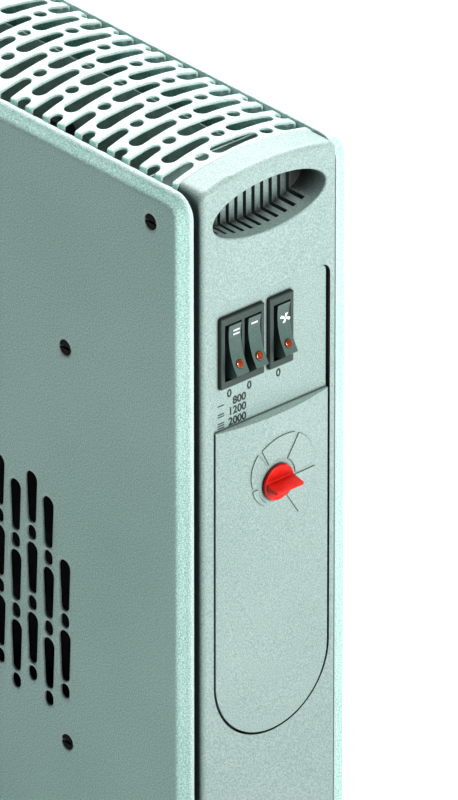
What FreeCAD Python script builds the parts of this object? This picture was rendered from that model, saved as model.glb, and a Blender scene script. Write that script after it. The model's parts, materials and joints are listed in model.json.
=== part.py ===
"""Free-standing electric convector heater with a fan, built as separate pieces.

Millimetres. +Z is up, +X points out of the end that holds the controls, and -Y is the front.
The origin lies on the floor, midway between the extremes of the whole heater.
"""
import FreeCAD, Part
import math
import os

os.makedirs("parts", exist_ok=True)

V = FreeCAD.Vector
X_AXIS = V(1, 0, 0)
Y_AXIS = V(0, 1, 0)
Z_AXIS = V(0, 0, 1)

# Case
case_length = 635.0
panel_height = 386.0
foot_height = 45.0
cap_depth = 76.0
front_gap = 3.3
rear_gap = 0.3
panel_depth = 5.8
panel_corner = 10.0
bevel = 4.8
bevel_softness = 2.2
rear_edge_radius = 1.6
rim_return = 8.0
sheet = 1.0
seat_clearance = 0.1

# Arched top
arch_rise = 5.1
arch_bend = 1.25
grille_drop = 0.5
grille_flange = 12.0
tongue_length = 1.4
tongue_thickness = 2.0

# Perforation, shared by the top grille and the vents
slot_length = 24.8
slot_wide_radius = 3.8
slot_narrow_radius = 2.9
dot_width = 5.8
dot_height = 7.1
dot_web = 1.15
grille_row_pitch = 10.22
grille_cross_pitch = 17.9
grille_dot_radius = 3.0
grille_end_margin = 5.3
grille_wrap = 3.5
grille_strips = 9
vent_pitch = 10.5
vent_columns = 47
rear_vent_columns = 21
vent_units = 3
vent_period = 34.2
vent_stagger = 7.9
vent_drop = 165.8
base_slot_pitch = 14.0
base_slot_length = 50.0
base_slot_width = 6.0
base_flange = 10.0

# Screws in the panels
corner_screw_in = 20.6
corner_screw_drop = 16.6
inner_screw_in = 75.0
inner_screw_upper_drop = 97.7
screw_head_radius = 3.9
screw_sink = 0.3
screw_shank_radius = 1.9
screw_length = 11.0
screw_clearance = 0.12
driver_slot = 1.1
standoff_radius = 5.0

# End caps
cap_stand = 1.4
cap_top_width = 15.6
cap_wall = 2.5
cap_edge_radius = 2.8
cap_boss_radius = 4.0
cap_boss_drop = 42.0
cap_boss_rise = 56.0
cap_screw_radius = 1.6
cap_screw_head_radius = 3.2
cap_screw_head = 2.2
cap_screw_depth = 14.0

# Carry-handle recess
recess_half_width = 31.6
recess_half_height = 12.1
recess_drop = 16.1
recess_depth = 16.0
recess_wall = 2.0
recess_lip = 0.8
recess_slot_pitch = 4.8
recess_slot_width = 1.9
recess_slots = 11
recess_slot_floor = 10.0
recess_slot_top = 0.62

# Control fascia
fascia_y = 1.2
fascia_half_width = 31.5
fascia_top_drop = 55.1
fascia_bottom_drop = 267.0
fascia_corner = 4.0
fascia_groove = 1.2
fascia_top_gap = 0.1
fascia_ledge_drop = 114.4
fascia_recess = 1.4
fascia_bulge_top = 3.9
fascia_bulge_low = 0.3
fascia_back = 5.0
fascia_wall = 2.5
fascia_ledge = 2.0
fascia_frame = 2.5

# Thermostat and its dial
dial_drop = 146.5
dial_sector_pitch = 60.0
dial_sector_span = 53.0
dial_inner_radius = 10.5
dial_reach = (11.5, 13.2, 19.2, 22.4, 22.6, 23.5)
dial_height = 0.4
knob_radius = 8.2
knob_thickness = 1.4
knob_gap = 0.6
knob_edge = 0.5
knob_hub_radius = 4.6
knob_hub_length = 5.0
grip_length = 14.9
grip_reach = 6.9
grip_root = 3.7
grip_tip = 1.2
grip_droop = 0.2
grip_fillet = 0.6
spindle_radius = 3.0
spindle_clearance = 0.05
spindle_hole_clearance = 0.5
spindle_grip = 0.6
thermostat_size = 32.0
thermostat_depth = 18.0
thermostat_collar_radius = 5.5
thermostat_collar_length = 8.0

# Rocker switches
well_width = 9.4
rocker_width = 6.8
rocker_side_clearance = 0.2
rocker_radius = 13.0
rocker_end_clearance = 0.3
rocker_pivot_depth = 2.0
rocker_face_end = 4.8
rocker_face_middle = 2.5
rocker_root = 5.5
rocker_top_trim = 1.8
rocker_tilt = 13.0
rocker_pin_radius = 1.2
rocker_pin_length = 0.5
rocker_pin_clearance = 0.05
switch_rim_side = 2.1
switch_divider = 1.5
switch_height = 33.5
switch_bezel = 2.0
switch_body_depth = 22.0
switch_body_inset = 1.4
switch_well_depth = 11.5
switch_hole_clearance = 0.15
switch_bezel_edge = 0.7
double_switch_y = -16.7
single_switch_y = 5.1
switch_drop = 77.7
lens_radius = 2.0
lens_depth = 1.6
lens_dome = 0.7
lens_clearance = 0.05
lens_down = 6.8
tab_width = 4.8
tab_thickness = 0.8
tab_length = 8.0

# End plates and shields
end_plate_in = 46.5
end_plate_top = 13.0
end_plate_flange = 33.0
end_plate_margin = 2.0
shield_inset = 2.0
shield_thickness = 0.8
shield_bottom = 15.0
shield_top = 22.0
shield_window_margin = 10.0

# Heating elements
element_rise = 75.0
element_half_spacing = 15.0
element_radius = 4.0
element_overhang = 20.0
fin_size = 26.0
fin_thickness = 0.6
fin_pitch = 12.0
fin_end_margin = 18.0
insulator_radius = 7.0
insulator_flange_radius = 10.0
insulator_flange = 3.0
insulator_length = 9.0
fit_clearance = 0.05

# Fan
fan_drop = 222.0
fan_y = 2.0
fan_radius = 25.0
fan_length = 200.0
fan_blades = 16
fan_blade_depth = 9.0
fan_blade_thickness = 0.8
fan_disc = 2.0
fan_shaft_radius = 3.0
fan_end_gap = 4.0
fan_scroll_gap = 4.0
fan_bracket = 1.5
fan_bracket_half_height = 42.0
fan_bearing_radius = 7.0
fan_bearing_length = 8.0
fan_motor_radius = 21.0
fan_motor_length = 34.0
running_clearance = 0.05

# Electrical pieces in the control end
terminal_size = V(14.0, 18.0, 44.0)
terminal_y = 20.0
terminal_rise = 120.0
terminal_screw_radius = 2.6
terminal_screw_pitch = 12.0
terminal_screw_height = 1.5
cutout_radius = 9.0
cutout_thickness = 7.0
cutout_x = 150.0
cutout_drop = 60.0
lead_radius = 1.3
lead_bend = 5.0
lead_spacing = 3.5

# Cord inlet
inlet_in = 27.5
inlet_rise = 40.0
inlet_bore_radius = 3.8
inlet_neck_radius = 6.5
inlet_flange_radius = 9.0
inlet_flange = 2.5
inlet_inner_length = 6.0

# Feet
foot_span = 200.0
foot_width = 36.0
foot_from_end = 110.0
foot_end_height = 12.0
foot_arch_rise = 17.0
foot_sole = 30.0
foot_shoulder = 6.0
foot_edge = 2.0
pad_height = 3.0
pad_width = 24.0
pad_length = 22.0
foot_screw_y = 22.0
foot_screw_radius = 2.4
foot_screw_head_radius = 4.5
foot_screw_head = 3.0
foot_web = 8.0

# Places worked out from the sizes
rim_x = case_length / 2
face_x = rim_x + cap_stand
grille_x = face_x - cap_top_width
plate_x = rim_x - end_plate_in
base_z = foot_height
rim_z = base_z + panel_height
half_cap = cap_depth / 2
rim_y = half_cap + (front_gap + rear_gap) / 2
cap_y = (front_gap - rear_gap) / 2
face_y = rim_y + panel_depth
inside_y = face_y - sheet
shield_y = half_cap - shield_inset
shield_inner_y = shield_y - shield_thickness
recess_z = rim_z - recess_drop
fascia_top_z = rim_z - fascia_top_drop
fascia_ledge_z = rim_z - fascia_ledge_drop
fascia_bottom_z = rim_z - fascia_bottom_drop
fascia_back_x = face_x - fascia_back
dial_z = rim_z - dial_drop
switch_z = rim_z - switch_drop
element_z = base_z + element_rise
fan_z = rim_z - fan_drop
foot_x = rim_x - foot_from_end
thermostat_front_x = plate_x + sheet + thermostat_depth
crown_radius = (half_cap ** 2 + arch_rise ** 2) / (2 * arch_rise)
crown_centre_z = rim_z + arch_rise - crown_radius
dial_sectors = len(dial_reach) - 1
switch_seat = V(face_x - fascia_recess, 0, switch_z)
well_half_height = rocker_radius + rocker_end_clearance
rocker_offset = (well_width - rocker_width) / 2 - rocker_side_clearance
TINY = 1e-4
FREE = 5.0


def fascia_bulge(z):
    """Height of the fascia's swell above its edges, at a height on its lower part."""
    fall = (fascia_ledge_z - z) / (fascia_ledge_z - fascia_bottom_z)
    return fascia_bulge_top + (fascia_bulge_low - fascia_bulge_top) * fall


knob_x = face_x + fascia_bulge(dial_z) + knob_gap
far_x = knob_x + knob_thickness + grip_reach
frame_shift = V(-(far_x - face_x) / 2, 0, 0)


def box(x0, x1, y0, y1, z0, z1):
    """Box between two corners."""
    return Part.makeBox(x1 - x0, y1 - y0, z1 - z0, V(x0, y0, z0))


def rod(start, axis, radius, length):
    """Round bar from a start point along an axis."""
    return Part.makeCylinder(radius, length, start, axis)


def tube(start, axis, radius, bore, length):
    """Round sleeve from a start point along an axis."""
    return rod(start, axis, radius, length).cut(rod(start, axis, bore, length))


def outline(segments):
    """Closed wire from line and arc segments in order."""
    return Part.Wire([segment.toShape() for segment in segments])


def prism(wire, direction):
    """Solid swept from a closed flat outline."""
    return Part.Face(wire).extrude(direction)


def joined(shapes):
    """One solid from touching shapes."""
    return shapes[0].fuse(shapes[1:]).removeSplitter()


def group(shapes):
    """Separate solids kept together as one piece group."""
    return Part.makeCompound(shapes)


def mirrored_x(shape):
    """The same shape at the other end of the case."""
    return shape.mirror(V(0, 0, 0), X_AXIS)


def mirrored_y(shape):
    """The same shape on the other face of the case."""
    return shape.mirror(V(0, 0, 0), Y_AXIS)


def on_cap(shape):
    """The same shape about the middle of the caps, which stand nearer to the rear panel."""
    return shape.translated(Y_AXIS * cap_y)


def on_fascia(shape):
    """The same shape about the middle of the fascia, which stands off the middle of its cap."""
    return shape.translated(Y_AXIS * fascia_y)


def edges_along_x(shape, length):
    """Straight edges that run the whole length along X."""
    return [edge for edge in shape.Edges if abs(edge.BoundBox.XLength - length) < TINY]


def tapered_slot(tip, along, across, length, first_radius, last_radius):
    """Outline of a round-ended slot from its tip along a direction."""
    reach = length - first_radius - last_radius
    lean = (first_radius - last_radius) / reach
    side = math.sqrt(1 - lean * lean)
    start = tip + along * first_radius
    end = start + along * reach
    left = along * lean + across * side
    right = along * lean - across * side
    return outline([
        Part.Arc(start + right * first_radius, tip, start + left * first_radius),
        Part.LineSegment(start + left * first_radius, end + left * last_radius),
        Part.Arc(end + left * last_radius, end + along * last_radius, end + right * last_radius),
        Part.LineSegment(end + right * last_radius, start + right * first_radius),
    ])


# Front and rear panels

def upright_block(inset, y0, y1):
    """Block of the panel's outline, drawn in by an inset, between two distances along Y."""
    block = box(-rim_x + inset, rim_x - inset, y0, y1, base_z + inset, rim_z - inset)
    corners = [edge for edge in block.Edges if edge.BoundBox.YLength > TINY]
    return block.makeFillet(max(panel_corner - inset, sheet), corners)


def face_edges(block, y):
    """Edges that lie in the plane of a panel's face."""
    return [edge for edge in block.Edges if abs(edge.BoundBox.YMin - y) + abs(edge.BoundBox.YMax - y) < TINY]


def bevelled(inset, cut):
    """Panel block with a bevel all round its face."""
    y = face_y - inset
    block = upright_block(inset, rim_y, y)
    return block.makeChamfer(cut, face_edges(block, y))


def rounded(inset, radius):
    """Panel block with a round edge all round its face."""
    y = face_y - inset
    block = upright_block(inset, rim_y, y)
    return block.makeFillet(radius, face_edges(block, y))


def rim_flange():
    """Flange that turns inwards all round a panel's rim."""
    return upright_block(0, rim_y, rim_y + sheet).cut(upright_block(rim_return, rim_y, rim_y + sheet))


def panel_screw_places():
    """X and Z of the screws in each panel: four at the corners and four farther in."""
    lower_drop = panel_height - inner_screw_upper_drop
    places = []
    for side in (-1, 1):
        places.append((side * (rim_x - corner_screw_in), rim_z - corner_screw_drop))
        places.append((side * (rim_x - corner_screw_in), base_z + corner_screw_drop))
        places.append((side * (rim_x - inner_screw_in), rim_z - inner_screw_upper_drop))
        places.append((side * (rim_x - inner_screw_in), rim_z - lower_drop))
    return places


def countersink(x, z, clearance):
    """Cone of a screw's head, from the panel's face inwards."""
    wide = screw_head_radius + clearance
    return Part.makeCone(wide, wide - sheet, sheet, V(x, face_y, z), -Y_AXIS)


def vent_cutters(columns):
    """Cutters for a band of slots with a dot under each, in staggered columns."""
    cutters = []
    for column in range(columns):
        x = (column - (columns - 1) / 2) * vent_pitch
        drop = vent_drop + vent_stagger * (column % 2)
        at_end = column in (0, columns - 1)
        for unit in range(1 if at_end else 0, vent_units):
            tip = V(x, inside_y - FREE, rim_z - drop - unit * vent_period)
            slot = tapered_slot(tip, -Z_AXIS, X_AXIS, slot_length, slot_wide_radius, slot_narrow_radius)
            dot_tip = tip - Z_AXIS * (slot_length + dot_web)
            dot = tapered_slot(dot_tip, -Z_AXIS, X_AXIS, dot_height, dot_width / 2, dot_width / 2)
            cutters.extend(prism(wire, Y_AXIS * (2 * FREE)) for wire in (slot, dot))
    return cutters


def make_panel(outer, inner, columns, extra_cutters):
    """Sheet-metal pan with its vent and screw holes, drawn with its face towards +Y."""
    pan = outer.cut(inner).fuse(rim_flange()).removeSplitter()
    holes = [countersink(x, z, screw_clearance) for x, z in panel_screw_places()]
    return pan.cut(vent_cutters(columns) + holes + extra_cutters)


def make_front_panel():
    """Front pan: bevelled edges softened where they meet the face."""
    inner_bevel = bevel - (2 - math.sqrt(2)) * sheet
    outer = bevelled(0, bevel)
    outer = outer.makeFillet(bevel_softness, face_edges(outer, face_y))
    return mirrored_y(make_panel(outer, bevelled(sheet, inner_bevel), vent_columns, []))


def inlet_place(y):
    """Axis of the cord inlet at a distance along Y."""
    return V(rim_x - inlet_in, y, base_z + inlet_rise)


def make_rear_panel():
    """Rear pan: square sides with a small round edge, and the cord inlet's hole."""
    hole = rod(inlet_place(inside_y - FREE), Y_AXIS, inlet_neck_radius + fit_clearance, 2 * FREE)
    inner_radius = max(rear_edge_radius - sheet, sheet / 4)
    return make_panel(rounded(0, rear_edge_radius), rounded(sheet, inner_radius), rear_vent_columns, [hole])


def make_panel_screws():
    """Countersunk screws with a driver slot, drawn in the rear panel."""
    screws = []
    for x, z in panel_screw_places():
        head = Part.makeCone(screw_head_radius - screw_sink, screw_head_radius - sheet, sheet - screw_sink,
                             V(x, face_y - screw_sink, z), -Y_AXIS)
        shank = rod(V(x, face_y - screw_sink, z), -Y_AXIS, screw_shank_radius, screw_length)
        slot = box(x - screw_head_radius, x + screw_head_radius, face_y - sheet, face_y,
                   z - driver_slot / 2, z + driver_slot / 2)
        screws.append(joined([head, shank]).cut(slot))
    return group(screws)


def make_standoffs():
    """Sleeves between a panel and its shield round the four inner screws, drawn at the rear."""
    bore = screw_shank_radius + screw_clearance
    places = [(x, z) for x, z in panel_screw_places() if abs(x) < rim_x - corner_screw_in - TINY]
    return group([tube(V(x, shield_y, z), Y_AXIS, standoff_radius, bore, inside_y - shield_y)
                  for x, z in places])


# Top and base grilles

def arch_points(x, inset, spans):
    """Points across the arched top, drawn in by an inset, that part it into equal spans."""
    radius = crown_radius - inset
    reach = math.asin((half_cap - inset) / radius)
    angles = [reach * (2 * step / spans - 1) for step in range(spans + 1)]
    return [V(x, radius * math.sin(angle), crown_centre_z + radius * math.cos(angle)) for angle in angles]


def block_under(top, length, low, bend):
    """Block along X under a line of segments, down to a low level, with rounded shoulders."""
    left = top[0].StartPoint
    right = top[-1].EndPoint
    low_left = V(left.x, left.y, low)
    low_right = V(right.x, right.y, low)
    sides = [Part.LineSegment(right, low_right), Part.LineSegment(low_right, low_left),
             Part.LineSegment(low_left, left)]
    block = prism(outline(top + sides), X_AXIS * length)
    shoulders = [edge for edge in edges_along_x(block, length)
                 if edge.BoundBox.ZMin > low + TINY and abs(abs(edge.BoundBox.YMin) - right.y) < TINY]
    return block.makeFillet(bend, shoulders)


def arched_block(x0, x1, inset, low, bend):
    """Block under the arched top, drawn in by an inset, between two distances along X."""
    left, crown, right = arch_points(x0, inset, 2)
    return block_under([Part.Arc(left, crown, right)], x1 - x0, low, bend)


def strip_block(x0, x1, inset, low, bend):
    """The same block under an arch folded from flat strips."""
    points = arch_points(x0, inset, grille_strips)
    strips = [Part.LineSegment(first, last) for first, last in zip(points, points[1:])]
    return block_under(strips, x1 - x0, low, bend)


def make_top_grille():
    """Sheet folded into an arch of flat strips, with flanges turned down and rows of slots and dots."""
    low = rim_z - grille_flange
    outer = strip_block(-grille_x, grille_x, grille_drop, low, arch_bend)
    inner = strip_block(-grille_x, grille_x, grille_drop + sheet, low - sheet, arch_bend - sheet)
    holes = []
    rows = int((2 * grille_x - 2 * grille_end_margin) / grille_row_pitch) // 2 * 2 + 1
    rise = Z_AXIS * (arch_rise + grille_wrap + FREE)
    for row in range(rows):
        x = (row - (rows - 1) / 2) * grille_row_pitch
        for place in range(-2, 3):
            centre = V(x, place * grille_cross_pitch, rim_z - grille_wrap)
            if (place + row) % 2 == 0:
                tip = centre - Y_AXIS * (slot_length / 2)
                wire = tapered_slot(tip, Y_AXIS, X_AXIS, slot_length, slot_wide_radius, slot_narrow_radius)
                holes.append(prism(wire, rise))
            else:
                holes.append(rod(centre, Z_AXIS, grille_dot_radius, rise.z))
    return outer.cut(inner).cut(holes)


def make_base_grille():
    """Flat perforated sheet with flanges turned up against the panels' rims."""
    high = base_z + base_flange
    between = rim_y - sheet
    plate = box(-grille_x, grille_x, -rim_y, rim_y, base_z, high)
    tray = plate.cut(box(-grille_x, grille_x, -between, between, base_z + sheet, high))
    cutters = []
    slots = int((2 * plate_x) / base_slot_pitch) - 1
    for index in range(slots):
        x = (index - (slots - 1) / 2) * base_slot_pitch
        if abs(abs(x) - foot_x) > foot_width / 2 + base_slot_width:
            tip = V(x, -base_slot_length / 2, base_z - sheet)
            end = base_slot_width / 2
            wire = tapered_slot(tip, Y_AXIS, X_AXIS, base_slot_length, end, end)
            cutters.append(prism(wire, Z_AXIS * (3 * sheet)))
    for x, y in foot_screw_places():
        cutters.append(rod(V(x, y, base_z - sheet), Z_AXIS, foot_screw_radius + screw_clearance, 3 * sheet))
    return tray.cut(cutters)


# End caps

def ellipse_block(x0, x1, grow):
    """Bar of the recess's oval section, grown by a wall."""
    centre = V(x0, 0, recess_z)
    oval = Part.Ellipse(centre + Y_AXIS * (recess_half_width + grow),
                        centre + Z_AXIS * (recess_half_height + grow), centre)
    return prism(Part.Wire([oval.toShape()]), V(x1 - x0, 0, 0))


def cap_boss_places():
    """Heights of the two screw bosses inside an end cap."""
    return [rim_z - cap_boss_drop, base_z + cap_boss_rise]


def recess_slot_cutters():
    """Cutters for the slots up the recess's back wall, each turning out along its floor."""
    cutters = []
    back_x = face_x - recess_depth
    for index in range(recess_slots):
        y = (index - (recess_slots - 1) / 2) * recess_slot_pitch
        half_height = recess_half_height * math.sqrt(1 - (y / recess_half_width) ** 2)
        cutters.append(box(back_x - recess_wall - FREE, back_x + recess_slot_floor,
                           y - recess_slot_width / 2, y + recess_slot_width / 2,
                           recess_z - half_height - recess_wall - FREE,
                           recess_z + half_height * recess_slot_top))
    return cutters


def make_plain_cap():
    """Moulded end cap with its carry-handle recess and screw bosses, at the control end."""
    shoulder = cap_edge_radius + cap_wall
    outer = arched_block(grille_x, face_x, 0, base_z, shoulder)
    feet_edges = [edge for edge in edges_along_x(outer, cap_top_width) if edge.BoundBox.ZMax < base_z + TINY]
    outer = outer.makeFillet(shoulder, feet_edges)
    end_edges = [edge for edge in outer.Edges if edge.BoundBox.XMin > face_x - TINY]
    outer = outer.makeFillet(cap_edge_radius, end_edges)
    inner = arched_block(grille_x - FREE, face_x - cap_wall, cap_wall, base_z + cap_wall, cap_edge_radius)
    tongue_inset = grille_drop + sheet + seat_clearance
    tongue_low = rim_z - grille_flange
    tongue = strip_block(grille_x - tongue_length, grille_x + cap_wall, tongue_inset, tongue_low, arch_bend)
    hollow = strip_block(grille_x - tongue_length, grille_x + cap_wall, tongue_inset + tongue_thickness,
                         tongue_low - sheet, arch_bend)
    plate_face_x = plate_x + sheet
    cup = ellipse_block(face_x - recess_depth - recess_wall, face_x - cap_wall / 2, recess_wall)
    bosses = [rod(V(plate_face_x, 0, z), X_AXIS, cap_boss_radius, face_x - cap_wall / 2 - plate_face_x)
              for z in cap_boss_places()]
    cap = joined([outer.cut(inner), tongue.cut(hollow), cup] + bosses)
    cap = cap.cut(ellipse_block(face_x - recess_depth, face_x + FREE, 0))
    lip = [edge for edge in cap.Edges
           if edge.BoundBox.XMin > face_x - TINY and abs(edge.BoundBox.YLength - 2 * recess_half_width) < 0.1]
    cap = cap.makeFillet(recess_lip, lip)
    bore = cap_screw_radius + screw_clearance
    bores = [rod(V(plate_face_x - FREE, 0, z), X_AXIS, bore, cap_screw_depth + FREE) for z in cap_boss_places()]
    return cap.cut(recess_slot_cutters() + bores)


def fascia_block(x0, x1, grow, top_grow):
    """Bar of the fascia's outline, grown by a wall: square top with small corners, half-round bottom."""
    half = fascia_half_width + grow
    top = fascia_top_z + top_grow
    corner = max(fascia_corner + grow, fascia_corner / 2)
    turn = corner * (1 - math.sqrt(0.5))
    round_z = fascia_bottom_z + fascia_half_width
    wire = outline([
        Part.LineSegment(V(x0, -half, round_z), V(x0, -half, top - corner)),
        Part.Arc(V(x0, -half, top - corner), V(x0, turn - half, top - turn), V(x0, corner - half, top)),
        Part.LineSegment(V(x0, corner - half, top), V(x0, half - corner, top)),
        Part.Arc(V(x0, half - corner, top), V(x0, half - turn, top - turn), V(x0, half, top - corner)),
        Part.LineSegment(V(x0, half, top - corner), V(x0, half, round_z)),
        Part.Arc(V(x0, half, round_z), V(x0, 0, round_z - half), V(x0, -half, round_z)),
    ])
    return prism(wire, V(x1 - x0, 0, 0))


def make_right_cap(plain_cap):
    """End cap of the control end, with the opening and ledge that seat the fascia."""
    rim = fascia_groove + fascia_frame
    frame = fascia_block(fascia_back_x - fascia_ledge, face_x - cap_wall / 2, rim, rim)
    seat = fascia_block(fascia_back_x, face_x + FREE, fascia_groove, fascia_top_gap)
    window = fascia_block(fascia_back_x - 2 * fascia_ledge, face_x, -fascia_ledge, -fascia_ledge)
    return joined([plain_cap, on_fascia(frame)]).cut([on_fascia(seat), on_fascia(window)])


# Control fascia

def swell(shift):
    """Lower part of the fascia as a swelling block, moved along X by a shift."""
    sections = []
    side = fascia_half_width + FREE
    for z in (fascia_ledge_z, fascia_bottom_z - FREE):
        edge_x = face_x + shift
        back_x = fascia_back_x - FREE + shift
        left = V(edge_x, -fascia_half_width, z)
        right = V(edge_x, fascia_half_width, z)
        sections.append(outline([
            Part.LineSegment(V(back_x, -side, z), V(edge_x, -side, z)),
            Part.LineSegment(V(edge_x, -side, z), left),
            Part.Arc(left, V(edge_x + fascia_bulge(z), 0, z), right),
            Part.LineSegment(right, V(edge_x, side, z)),
            Part.LineSegment(V(edge_x, side, z), V(back_x, side, z)),
            Part.LineSegment(V(back_x, side, z), V(back_x, -side, z)),
        ]))
    return Part.makeLoft(sections, True, True)


def dial_sector(index):
    """Bar of one wedge of the dial's growing ring, counted from the lower left round the top."""
    middle = 90.0 + dial_sector_pitch * ((dial_sectors - 1) / 2 - index)
    first = math.radians(middle + dial_sector_span / 2)
    last = math.radians(middle - dial_sector_span / 2)
    middle = math.radians(middle)
    first_reach, last_reach = dial_reach[index:index + 2]
    middle_reach = (first_reach + last_reach) / 2
    centre = V(face_x, 0, dial_z)

    def place(radius, angle):
        return centre + V(0, radius * math.cos(angle), radius * math.sin(angle))

    outer = [place(first_reach, first), place(middle_reach, middle), place(last_reach, last)]
    inner = [place(dial_inner_radius, angle) for angle in (last, middle, first)]
    wire = outline([
        Part.Arc(*outer),
        Part.LineSegment(outer[-1], inner[0]),
        Part.Arc(*inner),
        Part.LineSegment(inner[-1], outer[0]),
    ])
    return prism(wire, X_AXIS * (4 * FREE))


def make_fascia():
    """Insert with a sunk switch panel above, and a swelling, hollow dial panel with a raised ring below."""
    upper = box(fascia_back_x, face_x - fascia_recess, -fascia_half_width, fascia_half_width,
                fascia_ledge_z, fascia_top_z)
    bar = fascia_block(fascia_back_x, face_x + 4 * FREE, 0, 0)
    hollow_drop = fascia_top_z - fascia_ledge_z + fascia_wall
    hollow_bar = fascia_block(fascia_back_x, face_x + 4 * FREE, -fascia_ledge - fascia_wall, -hollow_drop)
    raised = swell(dial_height)
    ring = [dial_sector(index).common(raised) for index in range(dial_sectors)]
    body = joined([upper.common(bar), swell(0).common(bar)] + ring)
    cutters = [swell(-fascia_wall).common(hollow_bar)]
    hole_radius = knob_hub_radius + spindle_hole_clearance
    cutters.append(rod(V(fascia_back_x - FREE, 0, dial_z), X_AXIS, hole_radius, 6 * FREE))
    cutters.extend(switch_hole(y, wells) for y, wells in switch_places())
    return body.cut(cutters)


# Rocker switches

def switch_places():
    """Middle along Y and number of rockers of each switch."""
    return [(double_switch_y, 2), (single_switch_y, 1)]


def switch_width(wells):
    """Width of a switch's bezel."""
    return 2 * switch_rim_side + wells * well_width + (wells - 1) * switch_divider


def rocker_places(y, wells):
    """Middle along Y of each rocker in a switch."""
    pitch = well_width + switch_divider
    return [y + (index - (wells - 1) / 2) * pitch for index in range(wells)]


def on_switch_panel(shape):
    """Shape drawn about the switches' middle height, set on the switch panel."""
    return shape.translated(switch_seat)


def switch_hole(y, wells):
    """Cutter for a switch's body through the fascia."""
    half_width = switch_width(wells) / 2 - switch_body_inset + switch_hole_clearance
    half_height = switch_height / 2 - switch_body_inset + switch_hole_clearance
    reach = 3 * FREE
    return on_switch_panel(box(-reach, reach, y - half_width, y + half_width, -half_height, half_height))


def make_switch_housing(y, wells):
    """Switch body with a bezel, a well for each rocker and the sockets of their pivots."""
    half_width = switch_width(wells) / 2
    half_height = switch_height / 2
    inset = switch_body_inset
    bezel = box(0, switch_bezel, y - half_width, y + half_width, -half_height, half_height)
    bezel = bezel.makeFillet(switch_bezel_edge, [edge for edge in bezel.Edges if edge.BoundBox.XMax > TINY])
    body = box(-switch_body_depth, TINY, y - half_width + inset, y + half_width - inset,
               inset - half_height, half_height - inset)
    cutters = []
    for middle in rocker_places(y, wells):
        cutters.append(box(-switch_well_depth, FREE, middle - well_width / 2, middle + well_width / 2,
                           -well_half_height, well_half_height))
        socket = well_width / 2 + rocker_pin_length + rocker_pin_clearance
        cutters.append(rod(V(-rocker_pivot_depth, middle - socket, 0), Y_AXIS,
                           rocker_pin_radius + rocker_pin_clearance, 2 * socket))
    return on_switch_panel(joined([bezel, body]).cut(cutters))


def tilted_on(shape):
    """Rocker pieces turned to their resting place, with the upper end pressed in."""
    turned = shape.copy()
    turned.rotate(V(-rocker_pivot_depth, 0, 0), Y_AXIS, -rocker_tilt)
    return on_switch_panel(turned)


def rocker_face_circle():
    """Radius and centre distance of the hollow arc of a rocker's face."""
    end = math.sqrt(rocker_radius ** 2 - (rocker_face_end + rocker_pivot_depth) ** 2)
    hollow = rocker_face_end - rocker_face_middle
    radius = (end ** 2 + hollow ** 2) / (2 * hollow)
    return radius, rocker_face_middle + radius


def lens_axis(y):
    """Point on the rocker's face under the lens's middle, and the direction out of the face."""
    radius, centre = rocker_face_circle()
    point = V(centre - math.sqrt(radius ** 2 - lens_down ** 2), y, -lens_down)
    return point, (V(centre, y, 0) - point).normalize()


def make_rocker(y):
    """Rocker near one side of its well: hollow face, round ends, pivot pins and its lens's socket."""
    end = math.sqrt(rocker_radius ** 2 - (rocker_face_end + rocker_pivot_depth) ** 2)
    root = math.sqrt(rocker_radius ** 2 - (rocker_root - rocker_pivot_depth) ** 2)
    side = y + rocker_offset - rocker_width / 2
    profile = outline([
        Part.LineSegment(V(-rocker_root, side, -root), V(-rocker_root, side, root)),
        Part.Arc(V(-rocker_root, side, root), V(-rocker_pivot_depth, side, rocker_radius),
                 V(rocker_face_end, side, end)),
        Part.Arc(V(rocker_face_end, side, end), V(rocker_face_middle, side, 0),
                 V(rocker_face_end, side, -end)),
        Part.Arc(V(rocker_face_end, side, -end), V(-rocker_pivot_depth, side, -rocker_radius),
                 V(-rocker_root, side, -root)),
    ])
    reach = well_width / 2 + rocker_pin_length
    pin = rod(V(-rocker_pivot_depth, y - reach, 0), Y_AXIS, rocker_pin_radius, 2 * reach)
    point, out = lens_axis(y + rocker_offset)
    socket = rod(point - out * lens_depth, out, lens_radius + lens_clearance, lens_depth + FREE)
    trim = box(-2 * rocker_radius, 2 * rocker_radius, side - FREE, side + rocker_width + FREE,
               rocker_radius - rocker_top_trim, 2 * rocker_radius)
    return tilted_on(joined([prism(profile, Y_AXIS * rocker_width), pin]).cut([socket, trim]))


def make_lens(y):
    """Neon lamp's lens with a domed outer end, seated in a rocker's socket."""
    point, out = lens_axis(y + rocker_offset)
    lens = rod(point - out * lens_depth, out, lens_radius, lens_depth + lens_dome)
    outer_rim = max(lens.Edges, key=lambda edge: edge.CenterOfMass.dot(out) if edge.Closed else -math.inf)
    return tilted_on(lens.makeFillet(lens_dome, [outer_rim]))


def tab_place(y):
    """Middle of a switch tab's free end, before the switch is set on the panel."""
    return V(-switch_body_depth - tab_length, y, 0)


def make_switch_tabs():
    """Spade tabs at the backs of the switches, one for each rocker."""
    tabs = []
    half = tab_thickness / 2
    for place, wells in switch_places():
        for y in rocker_places(place, wells):
            tab = box(tab_place(y).x, -switch_body_depth, y - half, y + half, -tab_width / 2, tab_width / 2)
            tabs.append(on_switch_panel(tab))
    return group(tabs)


# Thermostat and its knob

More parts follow.
